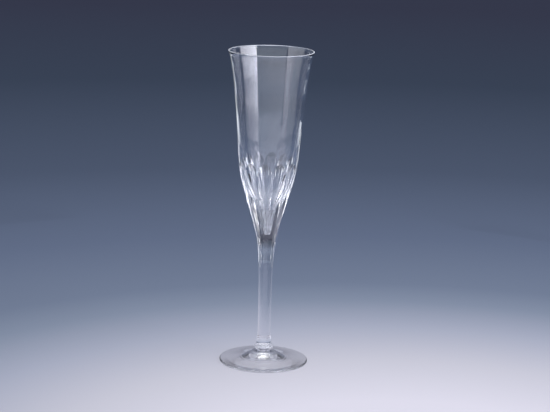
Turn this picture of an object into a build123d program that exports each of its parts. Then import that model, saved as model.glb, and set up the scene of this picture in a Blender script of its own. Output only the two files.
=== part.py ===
"""Cut crystal champagne flute: bowl, stem, two collars and foot, hot-joined on flat seams.

Millimetres, +Z up. The origin is the centre of the circle the foot stands on.
"""
from build123d import *
import math
import os

# Overall sizes
HEIGHT = 240.0
RIM_RADIUS = 32.2
FOOT_RADIUS = 33.8
FOOT_EDGE_THICKNESS = 1.6
LIP_THICKNESS = 1.2
LIP_ROUNDING = 0.5

# Heights of the flat seams between the pieces
BOWL_SEAM_Z = 98.0
UPPER_COLLAR_TOP_Z = 19.0
LOWER_COLLAR_TOP_Z = 13.6
FOOT_TOP_Z = 9.2

# Radii of the seams
BOWL_SEAM_RADIUS = 8.1
STEM_BASE_RADIUS = 5.05
COLLAR_NECK_RADIUS = 5.35
FOOT_SEAM_RADIUS = 6.9

# Radii of the collars where they bulge most
UPPER_COLLAR_RADIUS = 5.7
LOWER_COLLAR_RADIUS = 7.2

# Cut panels running from the lower bowl on to the top of the stem
PANEL_COUNT = 12
FIRST_RIDGE_DEG = -81.0
CUTTER_HALF_WIDTH = 7.0
CUTTER_REACH = 60.0

# Underside of the foot: the width of the standing ring and the height of the hollow above it
STANDING_RING_INNER_RADIUS = 27.5
STANDING_RING_OUTER_RADIUS = FOOT_RADIUS - FOOT_EDGE_THICKNESS / 2
UNDERSIDE_HOLLOW = 3.4

# Outlines are (radius, height) pairs in the half plane through the axis
BOWL_OUTSIDE = [
    (BOWL_SEAM_RADIUS, BOWL_SEAM_Z),
    (10.6, 107.7),
    (13.4, 117.0),
    (16.1, 126.3),
    (18.5, 135.0),
    (20.3, 142.5),
    (21.4, 148.5),
    (22.4, 156.0),
    (23.5, 168.5),
    (24.55, 181.5),
    (25.75, 196.0),
    (27.1, 208.0),
    (28.4, 220.0),
    (29.7, 228.0),
    (30.9, 234.5),
    (RIM_RADIUS, HEIGHT - LIP_ROUNDING),
]
BOWL_INSIDE = [
    (0.0, 100.5),
    (1.2, 101.0),
    (2.1, 103.4),
    (2.9, 109.0),
    (3.7, 116.0),
    (4.6, 121.0),
    (6.8, 125.4),
    (10.2, 130.8),
    (13.9, 137.2),
    (16.8, 144.4),
    (18.9, 152.5),
    (20.7, 163.0),
    (22.3, 176.0),
    (23.6, 190.0),
    (24.9, 204.0),
    (26.5, 217.0),
    (28.2, 227.5),
    (29.55, 234.5),
    (RIM_RADIUS - LIP_THICKNESS, HEIGHT - LIP_ROUNDING),
]
STEM_OUTSIDE = [
    (STEM_BASE_RADIUS, UPPER_COLLAR_TOP_Z),
    (4.9, 28.0),
    (4.95, 48.0),
    (5.15, 66.0),
    (5.42, 76.0),
    (5.95, 84.0),
    (6.8, 91.0),
    (BOWL_SEAM_RADIUS, BOWL_SEAM_Z),
]
# Cut panels at rising heights: distance from the axis to the middle of the panel, height, and
# the radius of the panel's hollow across its width (almost flat on the stem, hollow on the bowl)
PANEL_SECTIONS = [
    (5.54, 69.0, 400.0),
    (5.26, 76.0, 400.0),
    (5.8, 84.0, 400.0),
    (6.23, 91.0, 400.0),
    (7.32, 98.0, 400.0),
    (9.73, 107.7, 400.0),
    (12.39, 117.0, 200.0),
    (14.85, 126.3, 35.0),
    (16.95, 135.0, 20.0),
    (18.6, 142.0, 18.0),
    (19.95, 149.0, 20.0),
    (21.05, 153.2, 22.0),
    (22.5, 157.5, 24.0),
    (24.9, 163.5, 24.0),
]
FOOT_TOP = [
    (FOOT_SEAM_RADIUS, FOOT_TOP_Z),
    (8.6, 8.0),
    (12.5, 5.7),
    (17.5, 3.8),
    (24.0, 2.4),
    (FOOT_RADIUS - FOOT_EDGE_THICKNESS / 2, FOOT_EDGE_THICKNESS),
]
FOOT_HOLLOW = [
    (STANDING_RING_INNER_RADIUS, 0.0),
    (16.0, 1.1),
    (8.0, 2.6),
    (0.0, UNDERSIDE_HOLLOW),
]


def lathe(face):
    """Spin a half-plane face around the Z axis."""
    return revolve(face, Axis.Z, 360)


def outline(points, start_slope=None, end_slope=None):
    """Smooth curve in the XZ plane through (radius, height) pairs, with optional end directions."""
    vectors = [Vector(radius, 0, height) for radius, height in points]
    if start_slope is None:
        return Spline(*vectors)
    directions = [Vector(start_slope[0], 0, start_slope[1]), Vector(end_slope[0], 0, end_slope[1])]
    return Spline(*vectors, tangents=directions, tangent_scalars=[1, 1])


def face_from(edges):
    """Close a chain of edges into one flat face."""
    return Face(Wire(edges))


def panel_section(distance, height, hollow_radius):
    """Level slice through one cutter: a shallow arc facing the glass, open ground behind it."""
    rise = hollow_radius - math.sqrt(hollow_radius**2 - CUTTER_HALF_WIDTH**2)
    left = Vector(distance + rise, -CUTTER_HALF_WIDTH, height)
    right = Vector(distance + rise, CUTTER_HALF_WIDTH, height)
    arc = ThreePointArc(left, Vector(distance, 0, height), right)
    far_right = Vector(CUTTER_REACH, CUTTER_HALF_WIDTH, height)
    far_left = Vector(CUTTER_REACH, -CUTTER_HALF_WIDTH, height)
    rest = Polyline(right, far_right, far_left, left)
    return face_from([arc, *rest.edges()])


def panel_cutters():
    """One tall cutter per panel, lofted through its level slices; its inner side is the panel."""
    cutter = loft([panel_section(*section) for section in PANEL_SECTIONS])
    step = 360 / PANEL_COUNT
    return [
        Rot(0, 0, FIRST_RIDGE_DEG + step * (index + 0.5)) * cutter
        for index in range(PANEL_COUNT)
    ]


def make_bowl(cutters):
    """Blown bowl with a thick solid base, a smooth lip and cut panels."""
    outside = outline(BOWL_OUTSIDE)
    inside = outline(BOWL_INSIDE, start_slope=(1, 0), end_slope=(0.5, 1))
    lip_outer = outside @ 1
    lip_inner = inside @ 1
    lip_top = Vector((lip_outer.X + lip_inner.X) / 2, 0, HEIGHT)
    lip = ThreePointArc(lip_outer, lip_top, lip_inner)
    floor_centre = inside @ 0
    base_centre = Vector(0, 0, BOWL_SEAM_Z)
    axis_line = Line(floor_centre, base_centre)
    seam = Line(base_centre, outside @ 0)
    blank = lathe(face_from([outside, lip, inside, axis_line, seam]))
    return blank - cutters


def make_stem(cutters):
    """Drawn solid stem; the panels run out a little above its middle."""
    outside = outline(STEM_OUTSIDE)
    bottom, top = outside @ 0, outside @ 1
    rest = Polyline(top, Vector(0, 0, top.Z), Vector(0, 0, bottom.Z), bottom)
    blank = lathe(face_from([outside, *rest.edges()]))
    return blank - cutters


def make_collar(low_radius, high_radius, bulge_radius, low_z, high_z):
    """Solid ring of glass with a rounded side between two flat seams."""
    low = Vector(low_radius, 0, low_z)
    high = Vector(high_radius, 0, high_z)
    middle = Vector(bulge_radius, 0, (low_z + high_z) / 2)
    side = ThreePointArc(low, middle, high)
    rest = Polyline(high, Vector(0, 0, high_z), Vector(0, 0, low_z), low)
    return lathe(face_from([side, *rest.edges()]))


def make_foot():
    """Spread disc foot: low dome, thin rounded edge, hollow underside on a flat ring."""
    top = outline(FOOT_TOP)
    top_end = top @ 1
    ring_outer = Vector(STANDING_RING_OUTER_RADIUS, 0, 0)
    ring_inner = Vector(STANDING_RING_INNER_RADIUS, 0, 0)
    hollow_top = Vector(0, 0, UNDERSIDE_HOLLOW)
    edge = ThreePointArc(top_end, Vector(FOOT_RADIUS, 0, FOOT_EDGE_THICKNESS / 2), ring_outer)
    ring = Line(ring_outer, ring_inner)
    hollow = outline(FOOT_HOLLOW, start_slope=(-1, 0.03), end_slope=(-1, 0))
    core = Polyline(hollow_top, Vector(0, 0, FOOT_TOP_Z), top @ 0)
    return lathe(face_from([top, edge, ring, hollow, *core.edges()]))


def main():
    cutters = panel_cutters()
    pieces = {
        "bowl": make_bowl(cutters),
        "stem": make_stem(cutters),
        "upper_collar": make_collar(
            COLLAR_NECK_RADIUS,
            STEM_BASE_RADIUS,
            UPPER_COLLAR_RADIUS,
            LOWER_COLLAR_TOP_Z,
            UPPER_COLLAR_TOP_Z,
        ),
        "lower_collar": make_collar(
            FOOT_SEAM_RADIUS,
            COLLAR_NECK_RADIUS,
            LOWER_COLLAR_RADIUS,
            FOOT_TOP_Z,
            LOWER_COLLAR_TOP_Z,
        ),
        "foot": make_foot(),
    }
    os.makedirs("parts", exist_ok=True)
    for name, solid in pieces.items():
        export_step(solid, f"parts/{name}.step")


main()
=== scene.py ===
import math

import bpy
import numpy as np
from mathutils import Matrix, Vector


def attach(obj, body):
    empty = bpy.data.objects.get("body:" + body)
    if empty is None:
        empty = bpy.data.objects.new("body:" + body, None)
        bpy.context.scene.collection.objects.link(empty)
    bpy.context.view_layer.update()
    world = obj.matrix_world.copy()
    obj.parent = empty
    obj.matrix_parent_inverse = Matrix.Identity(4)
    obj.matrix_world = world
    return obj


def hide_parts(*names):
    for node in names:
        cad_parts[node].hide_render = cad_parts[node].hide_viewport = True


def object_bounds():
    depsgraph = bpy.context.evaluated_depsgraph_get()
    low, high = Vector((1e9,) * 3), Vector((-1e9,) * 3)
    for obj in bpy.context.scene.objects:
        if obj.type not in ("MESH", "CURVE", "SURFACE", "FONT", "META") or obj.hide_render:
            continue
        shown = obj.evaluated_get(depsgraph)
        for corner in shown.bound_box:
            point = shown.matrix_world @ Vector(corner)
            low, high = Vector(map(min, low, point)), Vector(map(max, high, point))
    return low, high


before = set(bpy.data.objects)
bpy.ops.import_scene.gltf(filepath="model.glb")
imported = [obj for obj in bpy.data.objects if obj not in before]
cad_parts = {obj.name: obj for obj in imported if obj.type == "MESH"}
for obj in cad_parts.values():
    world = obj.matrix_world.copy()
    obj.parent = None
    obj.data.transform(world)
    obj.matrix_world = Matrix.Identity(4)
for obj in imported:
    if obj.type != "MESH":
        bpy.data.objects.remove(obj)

size_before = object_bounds()
MM = 0.001

# ---------------------------------------------------------------- sizes
# In millimetres, the same as the CAD solids.
HEIGHT = 240.0
RIM_RADIUS = 32.2
LIP_THICKNESS = 1.2
LIP_ROUNDING = 0.5
LIP_BASE_Z = HEIGHT - LIP_ROUNDING
FOOT_RADIUS = 33.8
FOOT_EDGE_THICKNESS = 1.6
STANDING_RING_INNER = 27.5
STANDING_RING_OUTER = FOOT_RADIUS - FOOT_EDGE_THICKNESS / 2

# heights and radii of the flat seams between the pieces
BOWL_SEAM_Z, BOWL_SEAM_RADIUS = 98.0, 8.1
STEM_BASE_Z, STEM_BASE_RADIUS = 19.0, 5.05
COLLAR_SEAM_Z, COLLAR_SEAM_RADIUS = 13.6, 5.35
FOOT_SEAM_Z, FOOT_SEAM_RADIUS = 9.2, 6.9

# radii of the collars where they bulge most
UPPER_COLLAR_RADIUS = 5.7
LOWER_COLLAR_RADIUS = 7.2

PANELS = 12
FIRST_RIDGE = math.radians(-81.0)
PANEL_STEP = 2 * math.pi / PANELS
HALF_PANEL = PANEL_STEP / 2

# outlines of the pieces, as (radius, height)
BOWL_OUTSIDE = [
    (BOWL_SEAM_RADIUS, BOWL_SEAM_Z), (10.6, 107.7), (13.4, 117.0), (16.1, 126.3), (18.5, 135.0),
    (20.3, 142.5), (21.4, 148.5), (22.4, 156.0), (23.5, 168.5), (24.55, 181.5), (25.75, 196.0),
    (27.1, 208.0), (28.4, 220.0), (29.7, 228.0), (30.9, 234.5), (RIM_RADIUS, LIP_BASE_Z),
]
BOWL_INSIDE = [
    (0.0, 100.5), (1.2, 101.0), (2.1, 103.4), (2.9, 109.0), (3.7, 116.0), (4.6, 121.0),
    (6.8, 125.4), (10.2, 130.8), (13.9, 137.2), (16.8, 144.4), (18.9, 152.5), (20.7, 163.0),
    (22.3, 176.0), (23.6, 190.0), (24.9, 204.0), (26.5, 217.0), (28.2, 227.5), (29.55, 234.5),
    (RIM_RADIUS - LIP_THICKNESS, LIP_BASE_Z),
]
STEM_OUTSIDE = [
    (STEM_BASE_RADIUS, STEM_BASE_Z), (4.9, 28.0), (4.95, 48.0), (5.15, 66.0), (5.42, 76.0),
    (5.95, 84.0), (6.8, 91.0), (BOWL_SEAM_RADIUS, BOWL_SEAM_Z),
]
FOOT_TOP = [
    (FOOT_SEAM_RADIUS, FOOT_SEAM_Z), (8.6, 8.0), (12.5, 5.7), (17.5, 3.8), (24.0, 2.4),
    (STANDING_RING_OUTER, FOOT_EDGE_THICKNESS),
]
FOOT_HOLLOW = [(0.0, 3.4), (8.0, 2.6), (16.0, 1.1), (STANDING_RING_INNER, 0.0)]

# cut panels: distance from the axis, height, radius of the hollow across the panel
PANEL_SECTIONS = [
    (5.54, 69.0, 400.0), (5.26, 76.0, 400.0), (5.8, 84.0, 400.0), (6.23, 91.0, 400.0),
    (7.32, 98.0, 400.0), (9.73, 107.7, 400.0), (12.39, 117.0, 200.0), (14.85, 126.3, 35.0),
    (16.95, 135.0, 20.0), (18.6, 142.0, 18.0), (19.95, 149.0, 20.0), (21.05, 153.2, 22.0),
    (22.5, 157.5, 24.0), (24.9, 163.5, 24.0),
]
PANEL_LOW, PANEL_HIGH = PANEL_SECTIONS[0][1], PANEL_SECTIONS[-1][1]

# heights between which the ends of the panels lie, on the bowl and on the stem
BOWL_ARCHES = (144.0, 163.0)
STEM_ARCHES = (70.0, 92.0)

# a panel's bend is BEND_SCALE over the radius of its hollow, and never less than LEAST_BEND;
# GREATEST_SINE bounds the sine of the angle across the hollow, counted from its middle
BEND_SCALE, LEAST_BEND = 100.0, 0.2
GREATEST_SINE = 0.9

# ---------------------------------------------------------------- fineness of the meshes
CURVE_SAMPLES = 2000
ARCH_SAMPLES = 4000
DEPTH_ROUNDS = 8

# columns in every panel, in degrees from its ridges: close together there, evenly spread between
RIDGE_GAPS = (0.0, 0.3, 0.9)
PLAIN_MARGIN, PLAIN_COLUMNS = 1.9, 15

# spacing of the level rows, and numbers of the rows that bend, (below, above) the arches
BASE_STEP, WALL_STEP, STEM_STEP, NECK_STEP = 0.7, 0.8, 1.0, 0.6
BOWL_BENT_ZONE, BOWL_BENT_ROWS = (142.0, 164.0), (22, 16)
STEM_BENT_ROWS = (14, 18)

# numbers of rows on the curved parts, and the distance along the inside that the tip's pole spans
LIP_ROWS, INSIDE_ROWS, COLLAR_ROWS = 13, 190, 25
HOLLOW_ROWS, STANDING_ROWS, EDGE_ROWS, FOOT_TOP_ROWS = 60, 10, 14, 70
TIP_CLEARANCE = 0.35

# waviness of the blown inside wall: lobes round the glass, millimetres, turn in radians
LOBES = ((3, 0.03, 0.4), (5, 0.025, 1.9), (9, 0.015, 2.7), (14, 0.008, 5.1))
LOBE_TWIST = 0.02
WAVY_FROM, WAVY_RISE = 150.0, 30.0
WAVY_TO, WAVY_FALL = 236.0, 12.0


# ---------------------------------------------------------------- curves
def lengths_along(points):
    """Distance of every point from the first, along the chain of points."""
    return np.concatenate([[0], np.cumsum(np.hypot(*np.diff(points, axis=0).T))])


def unit(direction):
    return np.array(direction, float) / np.hypot(*direction)


def smooth_curve(points, start=None, end=None):
    """Cubic spline through the points, spaced by chord length, with optional end directions."""
    points = np.array(points, float)
    count = len(points)
    distance = lengths_along(points)
    gap = np.diff(distance)
    slope = np.diff(points, axis=0) / gap[:, None]
    system = np.zeros((count, count))
    target = np.zeros((count, 2))
    for i in range(1, count - 1):
        system[i, i - 1 : i + 2] = gap[i - 1], 2 * (gap[i - 1] + gap[i]), gap[i]
        target[i] = 6 * (slope[i] - slope[i - 1])
    if start is None:
        system[0, 0] = 1
    else:
        system[0, :2] = 2 * gap[0], gap[0]
        target[0] = 6 * (slope[0] - unit(start))
    if end is None:
        system[-1, -1] = 1
    else:
        system[-1, -2:] = gap[-1], 2 * gap[-1]
        target[-1] = 6 * (unit(end) - slope[-1])
    bend = np.linalg.solve(system, target)
    place = np.linspace(0, distance[-1], CURVE_SAMPLES)
    left = np.clip(np.searchsorted(distance, place, side="right") - 1, 0, count - 2)
    right = left + 1
    width = gap[left][:, None]
    past = (place - distance[left])[:, None]
    ahead = width - past
    return (
        bend[left] * ahead**3 / (6 * width)
        + bend[right] * past**3 / (6 * width)
        + (points[left] / width - bend[left] * width / 6) * ahead
        + (points[right] / width - bend[right] * width / 6) * past
    )


bowl_out = smooth_curve(BOWL_OUTSIDE)
bowl_in = smooth_curve(BOWL_INSIDE, start=(1, 0), end=(0.5, 1))
stem_out = smooth_curve(STEM_OUTSIDE)
foot_top = smooth_curve(FOOT_TOP)
foot_hollow = smooth_curve(FOOT_HOLLOW, start=(1, 0), end=(1, -0.03))
panel_line = smooth_curve([(distance, z) for distance, z, _ in PANEL_SECTIONS])
panel_bend = smooth_curve([(BEND_SCALE / hollow, z) for _, z, hollow in PANEL_SECTIONS])


def radius_at(curve, z):
    return np.interp(z, curve[:, 1], curve[:, 0])


def points_back(curve, stop, count):
    """Evenly spaced points from a curve's end back to the distance stop from its start."""
    along = lengths_along(curve)
    places = np.linspace(along[-1], stop, count)
    return [[np.interp(place, along, curve[:, i]) for i in (0, 1)] for place in places]


def arc(start, middle, end, count):
    """Points on the circle through three (radius, height) points."""
    (ax, ay), (bx, by), (cx, cy) = start, middle, end
    a_square, b_square, c_square = ax**2 + ay**2, bx**2 + by**2, cx**2 + cy**2
    scale = 2 * (ax * (by - cy) + bx * (cy - ay) + cx * (ay - by))
    x = (a_square * (by - cy) + b_square * (cy - ay) + c_square * (ay - by)) / scale
    y = (a_square * (cx - bx) + b_square * (ax - cx) + c_square * (bx - ax)) / scale
    radius = math.hypot(ax - x, ay - y)
    turns = np.unwrap([math.atan2(py - y, px - x) for px, py in (start, middle, end)])
    return [
        (x + radius * math.cos(turn), y + radius * math.sin(turn))
        for turn in np.linspace(turns[0], turns[-1], count)
    ]


# ---------------------------------------------------------------- columns round the glass
def column_angles():
    """Angle of every column round the axis, and its angle from the middle of its panel."""
    half = math.degrees(HALF_PANEL)
    plain = np.linspace(PLAIN_MARGIN - half, half - PLAIN_MARGIN, PLAIN_COLUMNS)
    before = [gap - half for gap in RIDGE_GAPS]
    after = [half - gap for gap in reversed(RIDGE_GAPS[1:])]
    offsets = [math.radians(angle) for angle in [*before, *plain, *after]]
    middles = [FIRST_RIDGE + PANEL_STEP * (panel + 0.5) for panel in range(PANELS)]
    return np.array([middle + offset for middle in middles for offset in offsets]), np.tile(offsets, PANELS)


THETA, PHI = column_angles()
COLUMNS = len(THETA)


def blank_radius(z):
    """Outside of the uncut glass, stem and bowl together."""
    return np.where(z < BOWL_SEAM_Z, radius_at(stem_out, z), radius_at(bowl_out, z))


def panel_radius(z, phi):
    """Distance from the axis to the hollow panel surface, phi away from the panel's middle.

    The depth of the hollow depends on the distance itself, so it is found in rounds.
    """
    middle = radius_at(panel_line, z)
    bend = np.maximum(radius_at(panel_bend, z), LEAST_BEND) / BEND_SCALE
    radius = middle / np.cos(phi)
    for _ in range(DEPTH_ROUNDS):
        across = np.clip(bend * radius * np.sin(phi), -GREATEST_SINE, GREATEST_SINE)
        radius = (middle + (1 - np.sqrt(1 - across**2)) / bend) / np.cos(phi)
    return radius


def cut_radius(z):
    """Radius of every column at one height, or at a height per column."""
    z = np.broadcast_to(np.asarray(z, float), (COLUMNS,))
    blank = blank_radius(z)
    inside = (z > PANEL_LOW) & (z < PANEL_HIGH)
    return np.where(inside, np.minimum(blank, panel_radius(z, PHI)), blank)


def arch_height(low, high):
    """Height where each column passes from round glass to cut panel."""
    z = np.linspace(low, high, ARCH_SAMPLES)
    gap = panel_radius(z[None, :], PHI[:, None]) - blank_radius(z)[None, :]
    found = np.full(COLUMNS, (low + high) / 2)
    for column in range(COLUMNS):
        flips = np.nonzero(np.diff(np.sign(gap[column])))[0]
        if len(flips):
            found[column] = z[flips[0]]
    return found


bowl_arch = arch_height(*BOWL_ARCHES)
stem_arch = arch_height(*STEM_ARCHES)


# ---------------------------------------------------------------- rings of points
def ring(radius, z):
    """One point per column, at a radius and height that may differ between columns."""
    radius = np.broadcast_to(np.asarray(radius, float), (COLUMNS,))
    z = np.broadcast_to(np.asarray(z, float), (COLUMNS,))
    return np.stack([radius * np.cos(THETA), radius * np.sin(THETA), z], axis=1)


def cut_ring(z):
    return ring(cut_radius(z), z)


def heights(low, high, step):
    """Evenly spaced heights from low to high, about one step apart."""
    return list(np.linspace(low, high, max(2, int(round((high - low) / step)) + 1)))


def bent_heights(low, high, bend, rows):
    """Heights of rows from low to high, one of them on the bend line of every column."""
    below, above = rows
    lower = [low + (bend - low) * share for share in np.linspace(0, 1, below, endpoint=False)]
    upper = [bend + (high - bend) * share for share in np.linspace(0, 1, above)]
    return lower + upper


def hand_blown(z):
    """The inside wall wanders a few hundredths of a millimetre, as blown glass does."""
    total = np.zeros(COLUMNS)
    for lobes, size, turn in LOBES:
        total += size * np.sin(lobes * THETA + turn + LOBE_TWIST * z)
    fade = np.clip((z - WAVY_FROM) / WAVY_RISE, 0, 1) * np.clip((WAVY_TO - z) / WAVY_FALL, 0, 1)
    return total * fade


def bowl_rings():
    """Up the outside from the seam, over the lip and down the inside to the tip."""
    zone_low, zone_high = BOWL_BENT_ZONE
    rings = [cut_ring(z) for z in heights(BOWL_SEAM_Z, zone_low, BASE_STEP)[:-1]]
    rings += [cut_ring(z) for z in bent_heights(zone_low, zone_high, bowl_arch, BOWL_BENT_ROWS)]
    rings += [ring(blank_radius(z), z) for z in heights(zone_high, LIP_BASE_Z, WALL_STEP)[1:]]
    half_lip = LIP_THICKNESS / 2
    for turn in np.linspace(0, math.pi, LIP_ROWS)[1:-1]:
        radius = RIM_RADIUS - half_lip + half_lip * math.cos(turn)
        rings.append(ring(radius, LIP_BASE_Z + LIP_ROUNDING * math.sin(turn)))
    inside = points_back(bowl_in, TIP_CLEARANCE, INSIDE_ROWS)
    return rings + [ring(radius + hand_blown(z), z) for radius, z in inside]


def stem_rings():
    """Up the outside between the two seams."""
    low, high = STEM_ARCHES
    rings = [ring(blank_radius(z), z) for z in heights(STEM_BASE_Z, low, STEM_STEP)[:-1]]
    rings += [cut_ring(z) for z in bent_heights(low, high, stem_arch, STEM_BENT_ROWS)]
    return rings + [cut_ring(z) for z in heights(high, BOWL_SEAM_Z, NECK_STEP)[1:]]


def collar_rings(low, bulge, high):
    """Up the rounded side from the seam low to the seam high, both (radius, height)."""
    middle = (bulge, (low[1] + high[1]) / 2)
    return [ring(radius, z) for radius, z in arc(low, middle, high, COLLAR_ROWS)]


def foot_rings():
    """From the middle of the hollow underside, out under the standing ring and back over the top."""
    hollow = [foot_hollow[int(i)] for i in np.linspace(0, CURVE_SAMPLES - 1, HOLLOW_ROWS)[1:-1]]
    stand = [(radius, 0.0) for radius in np.linspace(STANDING_RING_INNER, STANDING_RING_OUTER, STANDING_ROWS)]
    edge = arc(
        (STANDING_RING_OUTER, 0.0),
        (FOOT_RADIUS, FOOT_EDGE_THICKNESS / 2),
        (STANDING_RING_OUTER, FOOT_EDGE_THICKNESS),
        EDGE_ROWS,
    )[1:-1]
    top = points_back(foot_top, 0, FOOT_TOP_ROWS)
    return [ring(radius, z) for radius, z in [*hollow, *stand, *edge, *top]]


# ---------------------------------------------------------------- meshes
# material slots of a piece; only the bowl has the last two
SURFACE, SEAM, LIP, TIP = range(4)


def link_object(name, data):
    """New object with this data, placed in the scene."""
    made = bpy.data.objects.new(name, data)
    bpy.context.scene.collection.objects.link(made)
    return made


def make_piece(name, rings, first_is_seam, last_is_seam, materials):
    """Closed skin over stacked rings. A seam end is flat and sharp; the other kind is a smooth pole."""
    points = (np.concatenate(rings) * MM).tolist()
    first_start, last_start = 0, (len(rings) - 1) * COLUMNS
    first_pole, last_pole = len(points), len(points) + 1
    points += [(0, 0, rings[0][0, 2] * MM), (0, 0, rings[-1][0, 2] * MM)]
    following = [(column + 1) % COLUMNS for column in range(COLUMNS)]
    faces, slots = [], []
    for low in range(first_start, last_start, COLUMNS):
        high = low + COLUMNS
        for here, there in enumerate(following):
            faces.append((low + here, low + there, high + there, high + here))
            slots.append(SURFACE)
    for here, there in enumerate(following):
        faces.append((there, here, first_pole))
        slots.append(SEAM if first_is_seam else SURFACE)
        faces.append((last_start + here, last_start + there, last_pole))
        slots.append(SEAM if last_is_seam else SURFACE)
    mesh = bpy.data.meshes.new(name)
    mesh.from_pydata(points, [], faces)
    mesh.update()
    mesh.polygons.foreach_set("material_index", slots)
    mesh.polygons.foreach_set("use_smooth", [slot == SURFACE for slot in slots])
    sharp = set()
    for start, is_seam in ((first_start, first_is_seam), (last_start, last_is_seam)):
        if is_seam:
            sharp |= {tuple(sorted((start + a, start + b))) for a, b in enumerate(following)}
    for edge in mesh.edges:
        if tuple(sorted(edge.vertices)) in sharp:
            edge.use_edge_sharp = True
    for material in materials:
        mesh.materials.append(material)
    return link_object(name, mesh)


# ---------------------------------------------------------------- node helpers
def new_material(name):
    """Material with an empty node tree, and that tree."""
    material = bpy.data.materials.new(name)
    material.use_nodes = True
    material.node_tree.nodes.clear()
    return material, material.node_tree


def add_node(tree, kind, values=()):
    """New node; values are (input, value) pairs for its unlinked inputs."""
    node = tree.nodes.new(kind)
    for socket, value in values:
        node.inputs[socket].default_value = value
    return node


def object_place(tree):
    """Place on the object in metres."""
    return add_node(tree, "ShaderNodeTexCoord").outputs["Object"]


def separated(tree, place):
    """The three parts of a place, under the names X, Y and Z."""
    split = add_node(tree, "ShaderNodeSeparateXYZ")
    tree.links.new(place, split.inputs["Vector"])
    return split.outputs


def noise(tree, place, values):
    """Soft random cloudiness at each place, around the middle of 0 to 1."""
    cloud = add_node(tree, "ShaderNodeTexNoise", values)
    tree.links.new(place, cloud.inputs["Vector"])
    return cloud.outputs["Fac"]


def remapped(tree, value, given, wanted, shape="LINEAR"):
    """The value carried over from one (low, high) pair to another."""
    ends = (("From Min", given[0]), ("From Max", given[1]), ("To Min", wanted[0]), ("To Max", wanted[1]))
    carry = add_node(tree, "ShaderNodeMapRange", ends)
    carry.interpolation_type = shape
    tree.links.new(value, carry.inputs["Value"])
    return carry.outputs["Result"]


def product(tree, first, second):
    """The two values multiplied."""
    times = add_node(tree, "ShaderNodeMath")
    times.operation = "MULTIPLY"
    tree.links.new(first, times.inputs[0])
    tree.links.new(second, times.inputs[1])
    return times.outputs["Value"]


def colour_mix(tree, blend, values):
    """Node that blends its colour A with its colour B."""
    mix = add_node(tree, "ShaderNodeMix")
    mix.data_type = "RGBA"
    mix.blend_type = blend
    for socket, value in values:
        mix.inputs[socket].default_value = value
    return mix


def shader_mix(tree, share, first, second):
    """The first shader where share is 0, the second where it is 1."""
    mix = add_node(tree, "ShaderNodeMixShader")
    tree.links.new(share, mix.inputs["Fac"])
    tree.links.new(first, mix.inputs[1])
    tree.links.new(second, mix.inputs[2])
    return mix.outputs["Shader"]


def colour_ramp(tree, value, stops):
    """Colour that follows the value through (position, screen colour) stops."""
    ramp = add_node(tree, "ShaderNodeValToRGB")
    elements = ramp.color_ramp.elements
    while len(elements) < len(stops):
        elements.new(0.5)
    for element, (position, colour) in zip(elements, stops):
        element.position = position
        element.color = screen_colour(*colour)
    tree.links.new(value, ramp.inputs["Fac"])
    return ramp.outputs["Color"]


def screen_colour(*channels):
    """A screen colour, 0 to 255 a channel, as linear light by the sRGB curve."""
    shares = [channel / 255 for channel in channels]
    linear = [((share + 0.055) / 1.055) ** 2.4 if share > 0.04045 else share / 12.92 for share in shares]
    return (*linear, 1)


def show(tree, shader):
    """Put the shader on the material's surface."""
    tree.links.new(shader, add_node(tree, "ShaderNodeOutputMaterial").inputs["Surface"])


# ---------------------------------------------------------------- glass materials
GLASS_IOR = 1.545
FAINT_TINTS = (("A", (0.98, 0.978, 0.992, 1)), ("B", (0.99, 0.988, 0.998, 1)))
POLISH_SCALE = 60.0
ROUGHEST = 0.03
# whitish matt satin mixed into the glass: a ground finish that also paints light, a highlight line round the
# lip and pale light in the tip of the bowl
SATIN_AND_PAINTED_LIGHT_COLOUR = (0.88, 0.91, 0.96, 1)
SATIN_AND_PAINTED_LIGHT_GRAIN = (0.35, 0.65)
SATIN_WAVE_SCALE, SATIN_WAVE_HEIGHT = 60.0, 0.00001

# rings left by turning, on the foot round the collar: how fine and how uneven they are, and the
# distances from the origin, in metres, between which they fade
RIPPLE_SCALE, RIPPLE_DISTORTION = 150.0, 0.4
RIPPLE_FADE = (0.012, 0.021)


def rippled(tree, place, waves, size):
    """The waves with rings round the axis added, which fade away from the middle of the foot."""
    rings = add_node(
        tree, "ShaderNodeTexWave", (("Scale", RIPPLE_SCALE), ("Distortion", RIPPLE_DISTORTION))
    )
    rings.wave_type = "RINGS"
    rings.rings_direction = "Z"
    away = add_node(tree, "ShaderNodeVectorMath")
    away.operation = "LENGTH"
    total = add_node(tree, "ShaderNodeMath")
    total.operation = "MULTIPLY_ADD"
    tree.links.new(place, rings.inputs["Vector"])
    tree.links.new(place, away.inputs[0])
    tree.links.new(rings.outputs["Fac"], total.inputs[0])
    tree.links.new(remapped(tree, away.outputs["Value"], RIPPLE_FADE, (size, 0.0)), total.inputs[1])
    tree.links.new(waves, total.inputs[2])
    return total.outputs["Value"]


def clear_glass(tree, place, wave_scale, wave_height, ripples=0.0):
    """Shader of clear cut crystal, very slightly uneven from hand work."""
    glass = add_node(tree, "ShaderNodeBsdfPrincipled", (("Transmission Weight", 1.0), ("IOR", GLASS_IOR)))
    waves = noise(tree, place, (("Scale", wave_scale), ("Detail", 1.0)))
    if ripples:
        waves = rippled(tree, place, waves, ripples)
    bump = add_node(tree, "ShaderNodeBump", (("Strength", 1.0), ("Distance", wave_height)))
    polish = noise(tree, place, (("Scale", POLISH_SCALE),))
    tint = colour_mix(tree, "MIX", FAINT_TINTS)
    tree.links.new(waves, bump.inputs["Height"])
    tree.links.new(polish, tint.inputs["Factor"])
    tree.links.new(bump.outputs["Normal"], glass.inputs["Normal"])
    tree.links.new(remapped(tree, polish, (0.0, 1.0), (0.0, ROUGHEST)), glass.inputs["Roughness"])
    tree.links.new(tint.outputs["Result"], glass.inputs["Base Color"])
    return glass.outputs["BSDF"]


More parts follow.
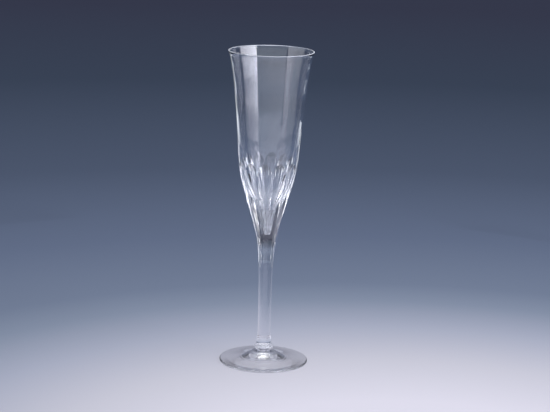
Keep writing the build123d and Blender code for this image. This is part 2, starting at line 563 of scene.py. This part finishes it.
def crystal(name, wave_scale, wave_height, ripples=0.0):
    """Clear polished glass; ripples is the height of its turning rings over that of its waves."""
    material, tree = new_material(name)
    show(tree, clear_glass(tree, object_place(tree), wave_scale, wave_height, ripples))
    return material


def satin_and_painted_light_crystal(name, shares, full_height, clear_height, stretch):
    """Clear glass with streaks of whitish satin, a matt finish that also paints light, from full_height
    towards none at clear_height.

    shares is the (least, greatest) share of the satin and its painted light, the heights are in
    millimetres, and stretch is how fine the streaks are along X, Y and Z, per metre.
    """
    material, tree = new_material(name)
    place = object_place(tree)
    glass = clear_glass(tree, place, SATIN_WAVE_SCALE, SATIN_WAVE_HEIGHT)
    # whitish matt share, part satin finish and part painted light
    satin_with_painted_light = add_node(tree, "ShaderNodeBsdfDiffuse", (("Color", SATIN_AND_PAINTED_LIGHT_COLOUR),))
    squeeze = add_node(tree, "ShaderNodeMapping", (("Scale", stretch),))
    tree.links.new(place, squeeze.inputs["Vector"])
    grain = noise(tree, squeeze.outputs["Vector"], (("Scale", 1.0),))
    fade = remapped(tree, separated(tree, place)["Z"], (full_height * MM, clear_height * MM), (1.0, 0.0))
    share = product(tree, remapped(tree, grain, SATIN_AND_PAINTED_LIGHT_GRAIN, shares), fade)
    show(tree, shader_mix(tree, share, glass, satin_with_painted_light.outputs["BSDF"]))
    return material


def fused_seam(name):
    """The flat seams are melted together, so they can't be seen."""
    material, tree = new_material(name)
    show(tree, add_node(tree, "ShaderNodeBsdfTransparent").outputs["BSDF"])
    return material


# ---------------------------------------------------------------- the glass
# faces of the bowl with satin that also paints light: the lip all round, where it paints a highlight line,
# and the narrow tip inside the solid base, where it paints pale light
TIP_TOP_Z = 130.0
INSIDE_MARGIN = 0.4

crystal_bowl = crystal("crystal_bowl", wave_scale=28.0, wave_height=0.00002)
crystal_stem = crystal("crystal_stem", wave_scale=40.0, wave_height=0.00001)
crystal_foot = crystal("crystal_foot", wave_scale=30.0, wave_height=0.00002, ripples=1.2)
# the whole lip lies below the height where its satin and painted highlight start to fade
lip_glass = satin_and_painted_light_crystal(
    "crystal_lip", shares=(0.2, 0.32), full_height=250.0, clear_height=260.0, stretch=(90, 90, 90)
)
tip_glass = satin_and_painted_light_crystal(
    "crystal_tip", shares=(0.05, 0.75), full_height=119.0, clear_height=131.0, stretch=(900, 900, 60)
)
seam = fused_seam("fused_seam")


def mark_satin_and_painted_light_faces(piece):
    """Give the lip and the inside tip of the bowl their own glass, whose satin also paints light."""
    for face in piece.data.polygons:
        radius, height = face.center.xy.length / MM, face.center.z / MM
        if height > LIP_BASE_Z:
            face.material_index = LIP
        elif height < TIP_TOP_Z and radius < radius_at(bowl_in, height) + INSIDE_MARGIN:
            face.material_index = TIP


foot_seam = (FOOT_SEAM_RADIUS, FOOT_SEAM_Z)
collar_seam = (COLLAR_SEAM_RADIUS, COLLAR_SEAM_Z)
stem_base = (STEM_BASE_RADIUS, STEM_BASE_Z)
upper_rings = collar_rings(collar_seam, UPPER_COLLAR_RADIUS, stem_base)
lower_rings = collar_rings(foot_seam, LOWER_COLLAR_RADIUS, collar_seam)

bowl = make_piece("cut_bowl", bowl_rings(), True, False, [crystal_bowl, seam, lip_glass, tip_glass])
mark_satin_and_painted_light_faces(bowl)
stem = make_piece("drawn_stem", stem_rings(), True, True, [crystal_stem, seam])
upper_collar = make_piece("stem_collar", upper_rings, True, True, [crystal_stem, seam])
lower_collar = make_piece("foot_collar", lower_rings, True, True, [crystal_stem, seam])
foot = make_piece("disc_foot", foot_rings(), False, True, [crystal_foot, seam])

for piece, node in (
    (bowl, "bowl"),
    (stem, "stem"),
    (upper_collar, "upper_collar"),
    (lower_collar, "lower_collar"),
    (foot, "foot"),
):
    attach(piece, "root")
    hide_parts(node)


# ---------------------------------------------------------------- table
# metres from the middle of the painted pool of light, and the screen colour painted there, falling away into
# painted shade
TABLE_SHADES = [
    (0.15, (225, 223, 236)), (0.25, (203, 203, 216)), (0.34, (170, 175, 194)),
    (0.42, (134, 145, 166)), (0.48, (116, 128, 151)), (0.66, (100, 112, 137)),
    (1.0, (80, 91, 113)), (1.7, (62, 72, 91)), (2.75, (59, 63, 82)),
]
TABLE_REACH = 3.0
# middle of the pool of light painted on the table, in metres
POOL_OF_LIGHT = (0.1, -0.24, 0)
# share of its painted shade that the table glows with, as painted light, and share that it reflects
GLOW = 0.735
MATT = 0.15
# the round table top in metres: its circles of points, and how far it lies below the foot
TABLE_SIDES = 96
TABLE_RADII = (0.1, 0.3, 0.8, 2.0, 6.0)
TABLE_GAP = 0.0002


def table_material():
    """Pale matt table whose colour and glow paint a pool of light, falling away into painted shade with
    distance from its middle.
    """
    material, tree = new_material("pale_table")
    away = add_node(tree, "ShaderNodeVectorMath")
    away.operation = "DISTANCE"
    away.inputs[1].default_value = POOL_OF_LIGHT
    tree.links.new(object_place(tree), away.inputs[0])
    reach = remapped(tree, away.outputs["Value"], (0.0, TABLE_REACH), (0.0, 1.0))
    shade = colour_ramp(tree, reach, [(distance / TABLE_REACH, colour) for distance, colour in TABLE_SHADES])
    dimmed = colour_mix(tree, "MULTIPLY", (("Factor", 1.0), ("B", (MATT, MATT, MATT, 1))))
    matt = add_node(tree, "ShaderNodeBsdfDiffuse")
    glow = add_node(tree, "ShaderNodeEmission", (("Strength", GLOW),))
    both = add_node(tree, "ShaderNodeAddShader")
    tree.links.new(shade, dimmed.inputs["A"])
    tree.links.new(dimmed.outputs["Result"], matt.inputs["Color"])
    tree.links.new(shade, glow.inputs["Color"])
    tree.links.new(matt.outputs["BSDF"], both.inputs[0])
    tree.links.new(glow.outputs["Emission"], both.inputs[1])
    show(tree, both.outputs["Shader"])
    return material


def make_table():
    """Wide round table top just under the foot."""
    turns = [2 * math.pi * side / TABLE_SIDES for side in range(TABLE_SIDES)]
    points = [(0, 0, 0)]
    for radius in TABLE_RADII:
        points += [(radius * math.cos(turn), radius * math.sin(turn), 0) for turn in turns]
    following = [(side + 1) % TABLE_SIDES for side in range(TABLE_SIDES)]
    faces = [(0, 1 + here, 1 + there) for here, there in enumerate(following)]
    for band in range(len(TABLE_RADII) - 1):
        inner = 1 + band * TABLE_SIDES
        outer = inner + TABLE_SIDES
        faces += [(inner + a, outer + a, outer + b, inner + b) for a, b in enumerate(following)]
    mesh = bpy.data.meshes.new("table_top")
    mesh.from_pydata(points, [], faces)
    mesh.materials.append(table_material())
    table = link_object("table_top", mesh)
    table.location.z = size_before[0][2] - TABLE_GAP
    return table


make_table()


# ---------------------------------------------------------------- lights
# parts light that has met no mirror yet from light that has met one or more
FIRST_MIRROR = 0.5


def light_card_material(name, width, rise, radiance, colour, shares, hidden):
    """Glowing card; its radiance changes upwards and is shared out from its -X to its +X side.

    Light that has only gone straight through the glass passes a hidden card, so the card shows
    as a reflection and never as a white sheet behind the bowl.
    """
    material, tree = new_material(name)
    place = separated(tree, object_place(tree))
    upwards = remapped(tree, place["Z"], rise, radiance, "SMOOTHSTEP")
    across = remapped(tree, place["X"], (-width / 2, width / 2), shares)
    glow = add_node(tree, "ShaderNodeEmission", (("Color", (*colour, 1)),))
    tree.links.new(product(tree, upwards, across), glow.inputs["Strength"])
    shine = glow.outputs["Emission"]
    if hidden:
        path = add_node(tree, "ShaderNodeLightPath").outputs
        unmirrored = add_node(tree, "ShaderNodeMath", ((1, FIRST_MIRROR),))
        unmirrored.operation = "LESS_THAN"
        tree.links.new(path["Glossy Depth"], unmirrored.inputs[0])
        straight = product(tree, unmirrored.outputs["Value"], path["Is Transmission Ray"])
        clear = add_node(tree, "ShaderNodeBsdfTransparent").outputs["BSDF"]
        shine = shader_mix(tree, straight, shine, clear)
    show(tree, shine)
    return material


def light_card(name, azimuth, distance, size, rise, radiance, colour, shares=(1.0, 1.0), hidden=True):
    """Upright card of soft light, in metres; azimuth runs in degrees from the camera towards +X.

    size is (width, bottom, top). rise is (low, high), the heights between which the radiance
    passes from its first value to its second. shares are for its own -X and +X sides.
    """
    width, bottom, top = size
    side = width / 2
    corners = [(-side, 0, bottom), (side, 0, bottom), (side, 0, top), (-side, 0, top)]
    mesh = bpy.data.meshes.new(name)
    mesh.from_pydata(corners, [], [(0, 1, 2, 3)])
    mesh.materials.append(light_card_material(name, width, rise, radiance, colour, shares, hidden))
    card = link_object(name, mesh)
    turn = math.radians(azimuth)
    card.location = (distance * math.sin(turn), -distance * math.cos(turn), 0)
    card.rotation_euler = (0, 0, turn)
    card.visible_camera = False
    return card


def overhead_softbox(name, height, width, depth, radiance, colour):
    """Level rectangle of light above the glass."""
    light = bpy.data.lights.new(name, "AREA")
    light.shape = "RECTANGLE"
    light.size = width
    light.size_y = depth
    light.energy = radiance * math.pi * width * depth
    light.color = colour
    lamp = link_object(name, light)
    lamp.location = (0, 0, height)
    lamp.visible_camera = False
    return lamp


FRONT_COLOUR = (0.85, 0.94, 1.07)
RIGHT_SIDE, LEFT_SIDE = 74.0, -80.0
SHEET_HEIGHT = 0.001

light_card(
    "front_wall",
    azimuth=0.0,
    distance=2.4,
    size=(5.0, 0.0, 1.6),
    rise=(0.02, 0.26),
    radiance=(2.4, 1.25),
    colour=FRONT_COLOUR,
)
light_card(
    "right_card",
    azimuth=RIGHT_SIDE,
    distance=0.9,
    size=(0.98, 0.02, 1.3),
    rise=(0.10, 0.36),
    radiance=(2.8, 9.3),
    colour=(0.95, 0.96, 1.08),
    shares=(1.0, 0.34),
)
light_card(
    "left_card",
    azimuth=LEFT_SIDE,
    distance=1.1,
    size=(1.25, 0.02, 1.3),
    rise=(0.08, 0.34),
    radiance=(1.6, 2.3),
    colour=(0.93, 0.96, 1.05),
    shares=(0.45, 1.0),
)
# pale sheet lying in front, mirrored in the lower half of the bowl
sheet = light_card(
    "front_sheet",
    azimuth=0.0,
    distance=0.0,
    size=(3.6, 0.75, 2.4),
    rise=(0.75, 0.95),
    radiance=(0.4, 2.1),
    colour=FRONT_COLOUR,
)
sheet.rotation_euler = (math.radians(90), 0, 0)
sheet.location.z = SHEET_HEIGHT
sheet.visible_diffuse = False
# dark cards seen only in reflections, where they hide the side cards and paint dark wedges of shade into the
# foot beside the collar; they cast no shadow
for name, side in (("right_painted_shade_card", RIGHT_SIDE), ("left_painted_shade_card", LEFT_SIDE)):
    painted_shade_card = light_card(
        name,
        azimuth=side,
        distance=0.13,
        size=(0.2, 0.006, 0.075),
        rise=(0.0, 0.1),
        radiance=(0.03, 0.03),
        colour=(0.85, 0.93, 1.1),
    )
    painted_shade_card.visible_diffuse = False
    painted_shade_card.visible_shadow = False
# low strips behind the glass that draw the bright edge lines of the bowl
for name, side, top in (("rear_strip_left", -150.0, 0.15), ("rear_strip_right", 150.0, 0.075)):
    strip = light_card(
        name,
        azimuth=side,
        distance=0.5,
        size=(0.12, 0.005, top),
        rise=(0.07, 0.12),
        radiance=(1.1, 0.35),
        colour=(0.9, 0.96, 1.06),
        hidden=False,
    )
    strip.visible_diffuse = False
overhead_softbox("overhead", height=1.2, width=1.0, depth=1.0, radiance=2.4, colour=(1.0, 1.0, 1.0))

# screen colour of the surround, from level with the table to straight up
WORLD_SHADES = [(0.0, (60, 64, 80)), (0.14, (78, 83, 101)), (0.36, (142, 146, 164)), (1.0, (203, 205, 216))]


def make_surround():
    """Dim room that grows paler upwards."""
    world = bpy.data.worlds.new("studio")
    world.use_nodes = True
    tree = world.node_tree
    tree.nodes.clear()
    direction = add_node(tree, "ShaderNodeTexCoord").outputs["Generated"]
    shade = colour_ramp(tree, separated(tree, direction)["Z"], WORLD_SHADES)
    room = add_node(tree, "ShaderNodeBackground")
    out = add_node(tree, "ShaderNodeOutputWorld")
    tree.links.new(shade, room.inputs["Color"])
    tree.links.new(room.outputs["Background"], out.inputs["Surface"])
    return world


scene = bpy.context.scene
scene.world = make_surround()

# ---------------------------------------------------------------- camera
# millimetres
SENSOR_WIDTH, FOCAL_LENGTH = 36.0, 117.7
# metres
NEAREST, FARTHEST = 0.05, 20.0
CAMERA_PLACE = (0.0058, -1.3284, 0.4176)
# degrees
LOOKS_DOWN, ROLL = 12.553, 1.6


def make_camera():
    """Camera looking slightly down along +Y."""
    view = bpy.data.cameras.new("photo_camera")
    view.sensor_width = SENSOR_WIDTH
    view.lens = FOCAL_LENGTH
    view.clip_start = NEAREST
    view.clip_end = FARTHEST
    camera = link_object("photo_camera", view)
    tilt = Matrix.Rotation(math.radians(90 - LOOKS_DOWN), 4, "X")
    roll = Matrix.Rotation(math.radians(ROLL), 4, "Z")
    camera.matrix_world = Matrix.Translation(CAMERA_PLACE) @ tilt @ roll
    return camera


scene.camera = make_camera()
scene.view_settings.view_transform = "Standard"
scene.view_settings.look = "None"
scene.cycles.use_denoising = True
scene.cycles.max_bounces = 32
scene.cycles.transmission_bounces = 28
scene.cycles.glossy_bounces = 16
scene.cycles.transparent_max_bounces = 32
scene.cycles.sample_clamp_indirect = 12.0
scene.cycles.blur_glossy = 0.2
